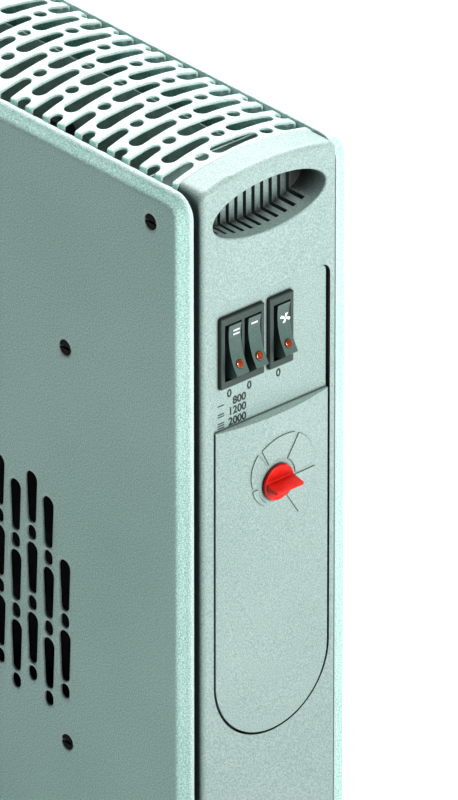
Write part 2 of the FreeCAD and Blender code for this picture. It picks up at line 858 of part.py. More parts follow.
def make_thermostat_body():
    """Thermostat case on the end plate, with a collar that guides the spindle."""
    half = thermostat_size / 2
    case = box(plate_x + sheet, thermostat_front_x, -half, half, dial_z - half, dial_z + half)
    front = V(thermostat_front_x, 0, dial_z)
    collar = rod(front, X_AXIS, thermostat_collar_radius, thermostat_collar_length)
    bore_start = front - X_AXIS * thermostat_collar_length
    bore = rod(bore_start, X_AXIS, spindle_radius + spindle_clearance, 2 * thermostat_collar_length)
    holes = [rod(V(plate_x, y, z), X_AXIS, cap_screw_radius + screw_clearance, cap_screw_depth)
             for y, z in thermostat_screw_places()]
    return joined([case, collar]).cut([bore] + holes)


def thermostat_screw_places():
    """Y and Z of the two screws that hold the thermostat to the end plate."""
    offset = thermostat_size / 2 - 2 * cap_screw_head_radius
    return [(-offset, dial_z - offset), (offset, dial_z + offset)]


def make_spindle():
    """Shaft from the thermostat to the knob."""
    start = thermostat_front_x - thermostat_collar_length + seat_clearance
    return rod(V(start, 0, dial_z), X_AXIS, spindle_radius, knob_x + spindle_grip - start)


def make_grip():
    """Flat grip of the knob: tapered, slightly drooping and flared where it leaves the disc."""
    front_x = knob_x + knob_thickness
    side = -grip_length / 2
    tip_z = dial_z - grip_droop
    flares = []
    for up in (-1, 1):
        root = V(front_x, side, dial_z + up * grip_root / 2)
        tip = V(far_x, side, tip_z + up * grip_tip / 2)
        along = (tip - root).normalize()
        rise = V(0, 0, up)
        middle = root + (along + rise) * (grip_fillet * (1 - math.sqrt(0.5)))
        flares.append((root + rise * grip_fillet, middle, root + along * grip_fillet, tip))
    low, high = flares
    sunk = X_AXIS * -knob_edge
    grip = prism(outline([
        Part.LineSegment(high[0] + sunk, low[0] + sunk),
        Part.LineSegment(low[0] + sunk, low[0]),
        Part.Arc(low[0], low[1], low[2]),
        Part.LineSegment(low[2], low[3]),
        Part.LineSegment(low[3], high[3]),
        Part.LineSegment(high[3], high[2]),
        Part.Arc(high[2], high[1], high[0]),
        Part.LineSegment(high[0], high[0] + sunk),
    ]), Y_AXIS * grip_length)
    tip_edges = [edge for edge in grip.Edges if edge.BoundBox.XMin > far_x - TINY]
    return grip.makeFillet(grip_tip / 3, tip_edges)


def make_knob():
    """Round knob with a grip standing out of it and a bored hub behind it for the spindle."""
    disc = rod(V(knob_x, 0, dial_z), X_AXIS, knob_radius, knob_thickness)
    front_x = knob_x + knob_thickness
    disc = disc.makeFillet(knob_edge, [edge for edge in disc.Edges if edge.BoundBox.XMin > front_x - TINY])
    hub_end = V(knob_x - knob_hub_length, 0, dial_z)
    hub = rod(hub_end, X_AXIS, knob_hub_radius, knob_hub_length)
    bore = rod(hub_end, X_AXIS, spindle_radius + spindle_clearance, knob_hub_length + spindle_grip)
    return joined([disc, hub, make_grip()]).cut(bore)


# End plates, shields and screws

def pan_screw(seat, axis, shank_radius, head_radius, head, length):
    """Screw with a flat head behind its seat and a shank ahead of it."""
    return joined([rod(seat - axis * head, axis, head_radius, head), rod(seat, axis, shank_radius, length)])


def make_plain_plate():
    """Sheet-metal end plate of the control end, with flanges that the panels screw to."""
    high = rim_z - end_plate_top
    wing_low = base_z + max(rim_return, base_flange) + end_plate_margin
    outer_x = plate_x + sheet
    between_flanges = rim_y - sheet - seat_clearance
    pieces = [
        box(plate_x, outer_x, -between_flanges, between_flanges, base_z + sheet, high),
        box(plate_x, outer_x, -inside_y, inside_y, wing_low, high),
        box(plate_x, plate_x + end_plate_flange, inside_y - sheet, inside_y, wing_low, high),
        box(plate_x, plate_x + end_plate_flange, -inside_y, sheet - inside_y, wing_low, high),
    ]
    cutters = [rod(V(x, -face_y, z), Y_AXIS, screw_shank_radius + screw_clearance, 2 * face_y)
               for x, z in panel_screw_places() if x > rim_x - inner_screw_in + TINY]
    cutters.extend(rod(V(plate_x - FREE, y, element_z), X_AXIS, insulator_radius + fit_clearance, 2 * FREE)
                   for y in (-element_half_spacing, element_half_spacing))
    cutters.extend(rod(V(plate_x - FREE, cap_y, z), X_AXIS, cap_screw_radius + screw_clearance, 2 * FREE)
                   for z in cap_boss_places())
    return joined(pieces).cut(cutters)


def make_right_plate(plain_plate):
    """End plate of the control end, with the thermostat's screw holes and the cord inlet's hole."""
    hole_radius = cap_screw_radius + screw_clearance
    cutters = [on_cap(on_fascia(rod(V(plate_x - FREE, y, z), X_AXIS, hole_radius, 2 * FREE)))
               for y, z in thermostat_screw_places()]
    cutters.append(rod(inlet_place(0), Y_AXIS, inlet_neck_radius + fit_clearance, face_y))
    return plain_plate.cut(cutters)


def cap_screw(seat, length):
    """Screw along X of the kind that holds the caps and the thermostat."""
    return pan_screw(seat, X_AXIS, cap_screw_radius, cap_screw_head_radius, cap_screw_head, length)


def make_cap_screws():
    """Screws that hold each end cap to its end plate."""
    length = sheet + cap_screw_depth - seat_clearance
    near = [cap_screw(V(plate_x, 0, z), length) for z in cap_boss_places()]
    return group(near + [mirrored_x(screw) for screw in near])


def make_thermostat_screws():
    """Screws that hold the thermostat to the end plate."""
    length = cap_screw_depth - seat_clearance
    return group([cap_screw(V(plate_x, y, z), length) for y, z in thermostat_screw_places()])


def make_shield():
    """Heat shield behind the rear panel, between the end plates, with a window at the fan."""
    plate = box(-plate_x, plate_x, shield_inner_y, shield_y, base_z + shield_bottom, rim_z - shield_top)
    window_half = fan_radius - shield_window_margin
    cutters = [box(-fan_length / 2, fan_length / 2, 0, face_y, fan_z - window_half, fan_z + window_half)]
    cutters.extend(rod(V(x, 0, z), Y_AXIS, screw_shank_radius + screw_clearance, face_y)
                   for x, z in panel_screw_places())
    return plate.cut(cutters)


# Heating elements

def make_element_rod(y):
    """Straight sheathed heating rod through both end plates."""
    reach = plate_x + sheet + element_overhang
    return rod(V(-reach, y, element_z), X_AXIS, element_radius, 2 * reach)


def make_element_fins(y):
    """Square fins along a heating rod."""
    count = int(2 * (plate_x - fin_end_margin) / fin_pitch) + 1
    half = fin_size / 2
    fins = []
    for index in range(count):
        x = (index - (count - 1) / 2) * fin_pitch - fin_thickness / 2
        fin = box(x, x + fin_thickness, y - half, y + half, element_z - half, element_z + half)
        fins.append(fin.cut(rod(V(x, y, element_z), X_AXIS, element_radius + fit_clearance, fin_thickness)))
    return group(fins)


def make_insulators():
    """Ceramic bushes that carry the heating rods in the end plates."""
    bushes = []
    for y in (-element_half_spacing, element_half_spacing):
        seat = V(plate_x + sheet, y, element_z)
        flange = rod(seat, X_AXIS, insulator_flange_radius, insulator_flange)
        neck = rod(seat - X_AXIS * insulator_length, X_AXIS, insulator_radius, insulator_length)
        bore = rod(seat - X_AXIS * insulator_length, X_AXIS, element_radius + fit_clearance,
                   insulator_length + insulator_flange)
        bush = joined([flange, neck]).cut(bore)
        bushes.extend([bush, mirrored_x(bush)])
    return group(bushes)


# Fan

fan_bracket_x = fan_length / 2 + fan_end_gap
fan_bracket_outer_x = fan_bracket_x + fan_bracket


def make_fan_rotor():
    """Drum of straight blades between two discs, with a bore for the shaft."""
    half = fan_length / 2
    pieces = [rod(V(-half, fan_y, fan_z), X_AXIS, fan_radius, fan_disc),
              rod(V(half - fan_disc, fan_y, fan_z), X_AXIS, fan_radius, fan_disc)]
    for index in range(fan_blades):
        blade = box(-half, half, fan_y - fan_blade_thickness / 2, fan_y + fan_blade_thickness / 2,
                    fan_z + fan_radius - fan_blade_depth, fan_z + fan_radius - fan_blade_thickness)
        blade.rotate(V(0, fan_y, fan_z), X_AXIS, 360 * index / fan_blades)
        pieces.append(blade)
    bore = fan_shaft_radius + fit_clearance
    return joined(pieces).cut(rod(V(-half, fan_y, fan_z), X_AXIS, bore, fan_length))


def make_fan_shaft():
    """Shaft from the bearing through the rotor into the motor."""
    start = -fan_bracket_outer_x - fan_bearing_length
    end = fan_bracket_outer_x + fan_motor_length / 2
    return rod(V(start, fan_y, fan_z), X_AXIS, fan_shaft_radius, end - start)


def make_fan_bracket():
    """Plate between the shields at the motor end of the fan."""
    plate = box(fan_bracket_x, fan_bracket_outer_x, -shield_inner_y, shield_inner_y,
                fan_z - fan_bracket_half_height, fan_z + fan_bracket_half_height)
    hole_radius = fan_shaft_radius + spindle_hole_clearance
    return plate.cut(rod(V(0, fan_y, fan_z), X_AXIS, hole_radius, fan_bracket_outer_x))


def make_fan_bearing():
    """Plain bearing of the shaft on the far bracket."""
    start = V(-fan_bracket_outer_x - fan_bearing_length, fan_y, fan_z)
    return tube(start, X_AXIS, fan_bearing_radius, fan_shaft_radius + running_clearance, fan_bearing_length)


def make_fan_motor():
    """Round motor on the near bracket, with a bore that takes the shaft."""
    seat = V(fan_bracket_outer_x, fan_y, fan_z)
    motor = rod(seat, X_AXIS, fan_motor_radius, fan_motor_length)
    far_edges = [edge for edge in motor.Edges if edge.BoundBox.XMin > seat.x + FREE]
    bore = rod(seat, X_AXIS, fan_shaft_radius + running_clearance, fan_motor_length / 2 + seat_clearance)
    return motor.makeFillet(fan_bracket, far_edges).cut(bore)


def make_fan_scroll():
    """Two curved air guides above and below the rotor, between the brackets."""
    inner = fan_radius + fan_scroll_gap
    ring = tube(V(-fan_bracket_x, fan_y, fan_z), X_AXIS, inner + shield_thickness, inner, 2 * fan_bracket_x)
    gap_half = inner * math.sin(math.radians(45))
    sides = box(-fan_bracket_x, fan_bracket_x, -face_y, face_y, fan_z - gap_half, fan_z + gap_half)
    return ring.cut(sides)


# Electrical pieces of the control end

def make_terminal_block():
    """Block on the end plate that the leads and the supply come to."""
    start = V(plate_x + sheet, terminal_y - terminal_size.y / 2, base_z + terminal_rise - terminal_size.z / 2)
    return Part.makeBox(terminal_size.x, terminal_size.y, terminal_size.z, start)


def make_terminal_screws():
    """Slotted clamp screws on the terminal block."""
    screws = []
    x = plate_x + sheet + terminal_size.x
    for step in (-1, 0, 1):
        z = base_z + terminal_rise + step * terminal_screw_pitch
        head = rod(V(x, terminal_y, z), X_AXIS, terminal_screw_radius, terminal_screw_height)
        slot = box(x + terminal_screw_height / 2, x + FREE, terminal_y - terminal_screw_radius,
                   terminal_y + terminal_screw_radius, z - driver_slot / 2, z + driver_slot / 2)
        screws.append(head.cut(slot))
    return group(screws)


def make_thermal_cutout():
    """Round safety cutout on the inner face of the rear shield."""
    return rod(V(cutout_x, shield_inner_y, rim_z - cutout_drop), -Y_AXIS, cutout_radius, cutout_thickness)


def bent_wire(points, bend, radius):
    """Round wire along straight runs joined by tangent arcs."""
    segments = []
    start = points[0]
    for before, corner, after in zip(points, points[1:], points[2:]):
        inward = (before - corner).normalize()
        outward = (after - corner).normalize()
        half_turn = (math.pi - inward.getAngle(outward)) / 2
        trim = bend * math.tan(half_turn)
        first = corner + inward * trim
        last = corner + outward * trim
        middle = corner + (inward + outward).normalize() * (bend / math.cos(half_turn) - bend)
        segments.append(Part.LineSegment(start, first))
        segments.append(Part.Arc(first, middle, last))
        start = last
    segments.append(Part.LineSegment(start, points[-1]))
    ring = Part.Wire([Part.Circle(points[0], points[1] - points[0], radius).toShape()])
    return outline(segments).makePipeShell([ring], True, True)


def make_leads():
    """Insulated leads from the switch tabs down to the terminal block."""
    rows = [y for place, wells in switch_places() for y in rocker_places(place, wells)]
    top_z = base_z + terminal_rise + terminal_size.z / 2
    leads = []
    for index, y in enumerate(rows):
        x = plate_x + sheet + terminal_size.x * (index + 1) / (len(rows) + 1)
        down_y = terminal_y + terminal_size.y / 2 - lead_spacing * (index + 1)
        start = switch_seat + tab_place(y) - X_AXIS * seat_clearance
        leads.append(bent_wire([start, V(x, y, start.z), V(x, down_y, start.z), V(x, down_y, top_z)],
                               lead_bend, lead_radius))
    return group(leads)


def make_inlet_bush():
    """Rubber bush in the rear panel that the supply cord passes through."""
    flange = rod(inlet_place(face_y), Y_AXIS, inlet_flange_radius, inlet_flange)
    length = sheet + inlet_inner_length
    neck = rod(inlet_place(face_y - length), Y_AXIS, inlet_neck_radius, length)
    bore = rod(inlet_place(face_y - length), Y_AXIS, inlet_bore_radius, length + inlet_flange)
    return joined([flange, neck]).cut(bore)


# Feet

def foot_screw_places():
    """X and Y of the screws that hold the feet to the base grille."""
    return [(x, y) for x in (-foot_x, foot_x) for y in (-foot_screw_y, foot_screw_y)]


def make_foot():
    """Moulded foot across the case, arched underneath, near the control end."""
    half = foot_span / 2
    x = foot_x - foot_width / 2
    top_half = face_y + foot_shoulder
    sole_in = half - foot_sole
    low = pad_height
    profile = outline([
        Part.LineSegment(V(x, -half, low), V(x, -half, foot_end_height)),
        Part.LineSegment(V(x, -half, foot_end_height), V(x, -top_half, base_z)),
        Part.LineSegment(V(x, -top_half, base_z), V(x, top_half, base_z)),
        Part.LineSegment(V(x, top_half, base_z), V(x, half, foot_end_height)),
        Part.LineSegment(V(x, half, foot_end_height), V(x, half, low)),
        Part.LineSegment(V(x, half, low), V(x, sole_in, low)),
        Part.Arc(V(x, sole_in, low), V(x, 0, low + foot_arch_rise), V(x, -sole_in, low)),
        Part.LineSegment(V(x, -sole_in, low), V(x, -half, low)),
    ])
    foot = prism(profile, X_AXIS * foot_width)
    soft = [edge for edge in foot.Edges
            if edge.BoundBox.ZLength > TINY and edge.BoundBox.XLength < TINY
            and edge.BoundBox.ZMax > low + FREE and edge.BoundBox.YLength < sole_in]
    foot = foot.makeFillet(foot_edge, soft)
    cutters = []
    seat_z = base_z - foot_web
    for place_x, y in foot_screw_places():
        cutters.append(rod(V(place_x, y, 0), Z_AXIS, foot_screw_radius + screw_clearance, base_z))
        cutters.append(rod(V(place_x, y, 0), Z_AXIS, foot_screw_head_radius + 2 * screw_clearance, seat_z))
    return foot.cut(cutters)


def make_foot_pads():
    """Rubber pads under the ends of both feet."""
    pads = []
    for x in (-foot_x, foot_x):
        for side in (-1, 1):
            y = side * (foot_span - foot_sole) / 2
            pads.append(box(x - pad_width / 2, x + pad_width / 2, y - pad_length / 2, y + pad_length / 2,
                            0, pad_height))
    return group(pads)


def make_foot_screws():
    """Screws up through the feet into the base grille."""
    return group([pan_screw(V(x, y, base_z - foot_web), Z_AXIS, foot_screw_radius, foot_screw_head_radius,
                            foot_screw_head, foot_web + 2 * sheet) for x, y in foot_screw_places()])


# All pieces by name

def build():
    """Make every piece and return them by node name."""
    plain_cap = make_plain_cap()
    plain_plate = make_plain_plate()
    rear_screws = make_panel_screws()
    rear_standoffs = make_standoffs()
    rear_shield = make_shield()
    near_bracket = make_fan_bracket()
    near_foot = make_foot()
    left_y, middle_y = rocker_places(double_switch_y, 2)
    return {
        "front_panel": make_front_panel(),
        "rear_panel": make_rear_panel(),
        "top_grille": on_cap(make_top_grille()),
        "base_grille": make_base_grille(),
        "right_end_cap": on_cap(make_right_cap(plain_cap)),
        "left_end_cap": on_cap(mirrored_x(plain_cap)),
        "control_fascia": on_cap(on_fascia(make_fascia())),
        "double_switch_housing": on_cap(on_fascia(make_switch_housing(double_switch_y, 2))),
        "fan_switch_housing": on_cap(on_fascia(make_switch_housing(single_switch_y, 1))),
        "low_heat_rocker": on_cap(on_fascia(make_rocker(middle_y))),
        "high_heat_rocker": on_cap(on_fascia(make_rocker(left_y))),
        "fan_rocker": on_cap(on_fascia(make_rocker(single_switch_y))),
        "low_heat_lens": on_cap(on_fascia(make_lens(middle_y))),
        "high_heat_lens": on_cap(on_fascia(make_lens(left_y))),
        "fan_lens": on_cap(on_fascia(make_lens(single_switch_y))),
        "switch_tabs": on_cap(on_fascia(make_switch_tabs())),
        "thermostat_body": on_cap(on_fascia(make_thermostat_body())),
        "thermostat_spindle": on_cap(on_fascia(make_spindle())),
        "thermostat_knob": on_cap(on_fascia(make_knob())),
        "thermostat_screws": on_cap(on_fascia(make_thermostat_screws())),
        "right_end_plate": make_right_plate(plain_plate),
        "left_end_plate": mirrored_x(plain_plate),
        "cap_screws": on_cap(make_cap_screws()),
        "front_panel_screws": mirrored_y(rear_screws),
        "rear_panel_screws": rear_screws,
        "front_standoffs": mirrored_y(rear_standoffs),
        "rear_standoffs": rear_standoffs,
        "front_heat_shield": mirrored_y(rear_shield),
        "rear_heat_shield": rear_shield,
        "low_heat_rod": make_element_rod(-element_half_spacing),
        "high_heat_rod": make_element_rod(element_half_spacing),
        "low_heat_fins": make_element_fins(-element_half_spacing),
        "high_heat_fins": make_element_fins(element_half_spacing),
        "element_insulators": make_insulators(),
        "fan_rotor": make_fan_rotor(),
        "fan_shaft": make_fan_shaft(),
        "fan_motor": make_fan_motor(),
        "fan_bearing": make_fan_bearing(),
        "motor_bracket": near_bracket,
        "bearing_bracket": mirrored_x(near_bracket),
        "fan_air_guides": make_fan_scroll(),
        "terminal_block": make_terminal_block(),
        "terminal_screws": make_terminal_screws(),
        "thermal_cutout": make_thermal_cutout(),
        "internal_leads": on_cap(on_fascia(make_leads())),
        "cord_inlet_bush": make_inlet_bush(),
        "right_foot": near_foot,
        "left_foot": mirrored_x(near_foot),
        "foot_pads": make_foot_pads(),
        "foot_screws": make_foot_screws(),
    }


for name, shape in build().items():
    shape.translate(frame_shift)
    shape.exportStep(f"parts/{name}.step")
    print(name, shape.isValid(), len(shape.Solids), round(shape.Volume, 1))
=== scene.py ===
"""Looks of a free-standing electric convector heater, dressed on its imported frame.

Lengths are in metres, in the frame of the CAD model: +Z up, +X towards the controls, -Y the front.
"""
import json
import logging
import math
from dataclasses import dataclass, field
from enum import Enum
from typing import Optional, Sequence

import bmesh
import bpy
from mathutils import Matrix, Vector


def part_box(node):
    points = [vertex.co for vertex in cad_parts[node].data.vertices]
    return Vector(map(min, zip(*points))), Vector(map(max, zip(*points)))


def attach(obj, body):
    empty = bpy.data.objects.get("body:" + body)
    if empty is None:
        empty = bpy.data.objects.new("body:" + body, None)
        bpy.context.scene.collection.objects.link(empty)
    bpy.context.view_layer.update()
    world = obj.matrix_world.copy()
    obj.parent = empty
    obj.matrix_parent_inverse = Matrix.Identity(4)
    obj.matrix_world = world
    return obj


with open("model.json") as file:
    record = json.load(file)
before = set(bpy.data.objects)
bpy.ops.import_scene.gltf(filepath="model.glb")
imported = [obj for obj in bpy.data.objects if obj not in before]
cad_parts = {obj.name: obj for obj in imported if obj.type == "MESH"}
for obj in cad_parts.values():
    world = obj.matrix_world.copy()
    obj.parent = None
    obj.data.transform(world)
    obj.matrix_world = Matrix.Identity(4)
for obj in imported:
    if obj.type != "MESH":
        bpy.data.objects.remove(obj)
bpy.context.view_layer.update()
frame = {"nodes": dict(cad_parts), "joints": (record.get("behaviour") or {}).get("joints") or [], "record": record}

MM = 0.001
LOG = logging.getLogger("heater")
Outline = list[tuple[float, float]]

# Numbers of the mix node's sockets, whose names repeat.
MIX_FACTOR = 0
MIX_FLOAT_A = 2
MIX_FLOAT_B = 3
MIX_COLOUR_A = 6
MIX_COLOUR_B = 7
MIX_FLOAT_OUT = 0
MIX_COLOUR_OUT = 2

# Drawn lines run fifty times as far along X as across.
ROLLED_STRETCH = (0.02, 1.0, 1.0)
# Steps of finer noise in dimpled paint, in the other patterns and in the slow drift of a colour.
PEEL_DETAIL = 1.0
GRAIN_DETAIL = 3.0
DRIFT_DETAIL = 2.0
GRAIN_ROUGHNESS = 0.55
# Share of the slow drift in the pattern that varies a colour.
DRIFT_SHARE = 0.12
# Pattern values at which a surface has all its own colour, and all its mottle.
MOTTLE_RANGE = (0.38, 0.62)
# Match of the softened and the true normal at which the edge tone starts, and is full; that tone is partly wear
# and partly painted light.
EDGE_RANGE = (0.98, 0.75)
# Open share of the surroundings at which the painted shade in seams and hollows is darkest, and gone.
CREVICE_SHADE_RANGE = (0.55, 0.95)
BEVEL_SAMPLES = 4
CREVICE_SHADE_SAMPLES = 8
# Colour of the painted shade at its darkest.
BLACK = (0.0, 0.0, 0.0, 1.0)
# Height of a figure as a share of the font's size.
FIGURE_SHARE = 0.7


def linear(hex_colour: str) -> tuple[float, float, float, float]:
    """Turn an sRGB hex colour into linear light, by the curve of the sRGB standard.

    Args:
        hex_colour: six hex digits, with or without a leading hash.

    Returns:
        Red, green, blue and an alpha of one.
    """
    digits = hex_colour.lstrip("#")
    channels = [int(digits[i:i + 2], 16) / 255 for i in (0, 2, 4)]
    lights = [c / 12.92 if c <= 0.04045 else ((c + 0.055) / 1.055) ** 2.4 for c in channels]
    return (*lights, 1.0)


def add_node(tree: bpy.types.NodeTree, kind: str, settings: Optional[dict] = None,
             links: Optional[dict] = None) -> bpy.types.Node:
    """Add one shader node with its settings and links.

    Args:
        tree: the node tree that takes the node.
        kind: Blender's name of the node type.
        settings: values by property name, input name or input number.
        links: output sockets by the name or number of the input they feed.

    Returns:
        The new node.
    """
    node = tree.nodes.new(kind)
    for key, value in (settings or {}).items():
        if isinstance(key, int) or key in node.inputs:
            node.inputs[key].default_value = value
        else:
            setattr(node, key, value)
    for key, source in (links or {}).items():
        tree.links.new(source, node.inputs[key])
    return node


class Pattern(Enum):
    """How a surface's fine pattern was made."""

    ORANGE_PEEL = "the soft dimples of baked powder"
    SPARKED = "the fine grain of a spark-eroded mould"
    SPANGLE = "the crystals of hot-dip zinc"
    ROLLED = "the long lines of rolled or drawn metal"
    SMOOTH = "the faint waviness of a polished mould"


@dataclass(frozen=True)
class Finish:
    """One real material and the way its surface was made.

    Attributes:
        name: the material and process.
        colour: sRGB hex colour of the surface.
        mottle: sRGB hex colour that it varies towards.
        roughness: middle of the roughness range.
        spread: how far the roughness varies.
        pattern: kind of fine pattern.
        pattern_mm: spacing of that pattern, as drawn.
        relief_mm: height of its bump.
        broad_mm: spacing of the slow drift in its colour.
        metallic: one for bare metal.
        coat: strength of a clear lacquer or polished skin.
        coat_roughness: roughness of that skin.
        transmission: share of light that passes through.
        sheen: strength of a dusty sheen.
        specular: strength of its highlights.
        wear_and_light_colour: sRGB hex colour its edges turn to, partly for wear and partly as painted light.
        wear_and_light_share: how far the edges turn to that colour.
        edge_mm: radius that softens its edges.
        painted_shade: how dark the painted shade in its seams and hollows is, from none to black.
        painted_shade_mm: reach of that painted shade from a seam.
    """

    name: str
    colour: str
    mottle: str
    roughness: float
    spread: float
    pattern: Pattern
    pattern_mm: float
    relief_mm: float
    broad_mm: float = 70.0
    metallic: float = 0.0
    coat: float = 0.0
    coat_roughness: float = 0.12
    transmission: float = 0.0
    sheen: float = 0.0
    specular: float = 0.5
    # By default every edge turns towards a light tone, partly wear and partly a painted highlight.
    wear_and_light_colour: str = "#D5E2DF"
    wear_and_light_share: float = 0.25
    edge_mm: float = 0.4
    # By default every finish takes painted shade in its seams and hollows.
    painted_shade: float = 0.7
    painted_shade_mm: float = 6.0

    def texture(self, tree: bpy.types.NodeTree) -> bpy.types.NodeSocket:
        """Add the fine pattern.

        Args:
            tree: the material's node tree.

        Returns:
            A socket from zero to one.
        """
        place = add_node(tree, "ShaderNodeTexCoord").outputs["Object"]
        per_metre = 1.0 / (self.pattern_mm * MM)
        if self.pattern is Pattern.SPANGLE:
            cells = add_node(tree, "ShaderNodeTexVoronoi", {"Scale": per_metre, "Randomness": 1.0},
                             {"Vector": place})
            tones = add_node(tree, "ShaderNodeSeparateColor", links={"Color": cells.outputs["Color"]})
            return tones.outputs[0]
        if self.pattern is Pattern.ROLLED:
            along = add_node(tree, "ShaderNodeVectorMath", {"operation": "MULTIPLY", 1: ROLLED_STRETCH},
                             {0: place})
            place = along.outputs[0]
        detail = PEEL_DETAIL if self.pattern is Pattern.ORANGE_PEEL else GRAIN_DETAIL
        noise = add_node(tree, "ShaderNodeTexNoise",
                         {"Scale": per_metre, "Detail": detail, "Roughness": GRAIN_ROUGHNESS},
                         {"Vector": place})
        return noise.outputs["Fac"]

    def mottled(self, tree: bpy.types.NodeTree, fine: bpy.types.NodeSocket) -> bpy.types.NodeSocket:
        """Vary the colour with the fine pattern and a slow drift.

        Args:
            tree: the material's node tree.
            fine: the fine pattern.

        Returns:
            The colour's socket.
        """
        own_from, mottle_from = MOTTLE_RANGE
        broad = add_node(tree, "ShaderNodeTexNoise",
                         {"Scale": 1.0 / (self.broad_mm * MM), "Detail": DRIFT_DETAIL},
                         {"Vector": add_node(tree, "ShaderNodeTexCoord").outputs["Object"]})
        drift = add_node(tree, "ShaderNodeMix", {MIX_FACTOR: DRIFT_SHARE},
                         {MIX_FLOAT_A: fine, MIX_FLOAT_B: broad.outputs["Fac"]})
        share = add_node(tree, "ShaderNodeMapRange", {"From Min": own_from, "From Max": mottle_from},
                         {"Value": drift.outputs[MIX_FLOAT_OUT]})
        mixed = add_node(tree, "ShaderNodeMix",
                         {"data_type": "RGBA", MIX_COLOUR_A: linear(self.colour),
                          MIX_COLOUR_B: linear(self.mottle)},
                         {MIX_FACTOR: share.outputs[0]})
        return mixed.outputs[MIX_COLOUR_OUT]

    def wear_and_light_edges(self, tree: bpy.types.NodeTree, colour: bpy.types.NodeSocket,
                   soft: bpy.types.NodeSocket) -> bpy.types.NodeSocket:
        """Turn the colour towards its edge tone along the edges; that tone stands partly for wear and partly for
        painted light along the edges.

        Args:
            tree: the material's node tree.
            colour: the colour so far.
            soft: the normal with softened edges.

        Returns:
            The colour's socket.
        """
        edge_tone_from, edge_tone_full = EDGE_RANGE
        true_normal = add_node(tree, "ShaderNodeNewGeometry").outputs["Normal"]
        match = add_node(tree, "ShaderNodeVectorMath", {"operation": "DOT_PRODUCT"},
                         {0: soft, 1: true_normal})
        edge = add_node(tree, "ShaderNodeMapRange",
                        {"From Min": edge_tone_from, "From Max": edge_tone_full, "To Max": self.wear_and_light_share},
                        {"Value": match.outputs["Value"]})
        mixed = add_node(tree, "ShaderNodeMix", {"data_type": "RGBA", MIX_COLOUR_B: linear(self.wear_and_light_colour)},
                         {MIX_FACTOR: edge.outputs[0], MIX_COLOUR_A: colour})
        return mixed.outputs[MIX_COLOUR_OUT]

    def paint_crevice_shade(self, tree: bpy.types.NodeTree, colour: bpy.types.NodeSocket) -> bpy.types.NodeSocket:
        """Paint shade into seams and hollows, darkening the colour where the surroundings close in.

        Args:
            tree: the material's node tree.
            colour: the colour so far.

        Returns:
            The colour's socket.
        """
        darkest_at, unshaded_at = CREVICE_SHADE_RANGE
        open_share = add_node(tree, "ShaderNodeAmbientOcclusion",
                              {"samples": CREVICE_SHADE_SAMPLES, "Distance": self.painted_shade_mm * MM})
        unshaded = add_node(tree, "ShaderNodeMapRange",
                         {"From Min": darkest_at, "From Max": unshaded_at, "To Min": 1.0 - self.painted_shade},
                         {"Value": open_share.outputs["AO"]})
        mixed = add_node(tree, "ShaderNodeMix", {"data_type": "RGBA", MIX_COLOUR_A: BLACK},
                         {MIX_FACTOR: unshaded.outputs[0], MIX_COLOUR_B: colour})
        return mixed.outputs[MIX_COLOUR_OUT]

    def material(self) -> bpy.types.Material:
        """Build the material on its first use.

        Returns:
            The material that every piece with this finish shares.
        """
        made = bpy.data.materials.get(self.name)
        if made:
            return made
        made = bpy.data.materials.new(self.name)
        made.use_nodes = True
        tree = made.node_tree
        tree.nodes.clear()
        fine = self.texture(tree)
        colour = self.mottled(tree, fine)
        bevel = add_node(tree, "ShaderNodeBevel", {"samples": BEVEL_SAMPLES, "Radius": self.edge_mm * MM})
        soft = bevel.outputs[0]
        # Edges take their edge tone: partly wear, partly painted light.
        colour = self.wear_and_light_edges(tree, colour, soft)
        # Painted shade darkens seams and hollows.
        colour = self.paint_crevice_shade(tree, colour)
        rough = add_node(tree, "ShaderNodeMapRange",
                         {"To Min": self.roughness - self.spread, "To Max": self.roughness + self.spread},
                         {"Value": fine})
        bump = add_node(tree, "ShaderNodeBump", {"Strength": 1.0, "Distance": self.relief_mm * MM},
                        {"Height": fine, "Normal": soft})
        shader = add_node(tree, "ShaderNodeBsdfPrincipled",
                          {"Metallic": self.metallic, "Coat Weight": self.coat,
                           "Coat Roughness": self.coat_roughness, "Transmission Weight": self.transmission,
                           "Sheen Weight": self.sheen, "Specular IOR Level": self.specular},
                          {"Base Color": colour, "Roughness": rough.outputs[0], "Normal": bump.outputs[0]})
        add_node(tree, "ShaderNodeOutputMaterial", links={"Surface": shader.outputs[0]})
        return made


# The grain of moulded, fired and printed surfaces and the lines of drawn metal are really about
# 0.1 mm apart. That is too fine to show, so these patterns are drawn several times coarser.

# Powder-coated sheet steel: satin, with soft dimples that break up its highlights.
# Its edges turn near white, a painted highlight, and its seams take a little painted shade.
POWDER_COAT = Finish(
    "powder_coated_steel", colour="#D2F2EA", mottle="#90C4B9", roughness=0.42, spread=0.05,
    pattern=Pattern.ORANGE_PEEL, pattern_mm=0.6, relief_mm=0.012,
    wear_and_light_colour="#F6FFFD", wear_and_light_share=0.7, edge_mm=3.0, painted_shade=0.2, painted_shade_mm=1.5)
# Injection-moulded ABS from a spark-eroded tool: matt, with a fine even grain.
# Strong painted shade darkens its seams, gaps and recesses nearly to black.
CASING_ABS = Finish(
    "moulded_abs_casing", colour="#A6BAB5", mottle="#7E9892", roughness=0.5, spread=0.06,
    pattern=Pattern.SPARKED, pattern_mm=0.6, relief_mm=0.012, painted_shade=0.97, painted_shade_mm=14.0)
# The same ABS in the fascia: a touch smoother, with painted shade only close to its seams.
FASCIA_ABS = Finish(
    "moulded_abs_fascia", colour="#A6BAB5", mottle="#7E9892", roughness=0.47, spread=0.06,
    pattern=Pattern.SPARKED, pattern_mm=0.6, relief_mm=0.012, painted_shade=0.95, painted_shade_mm=1.4)
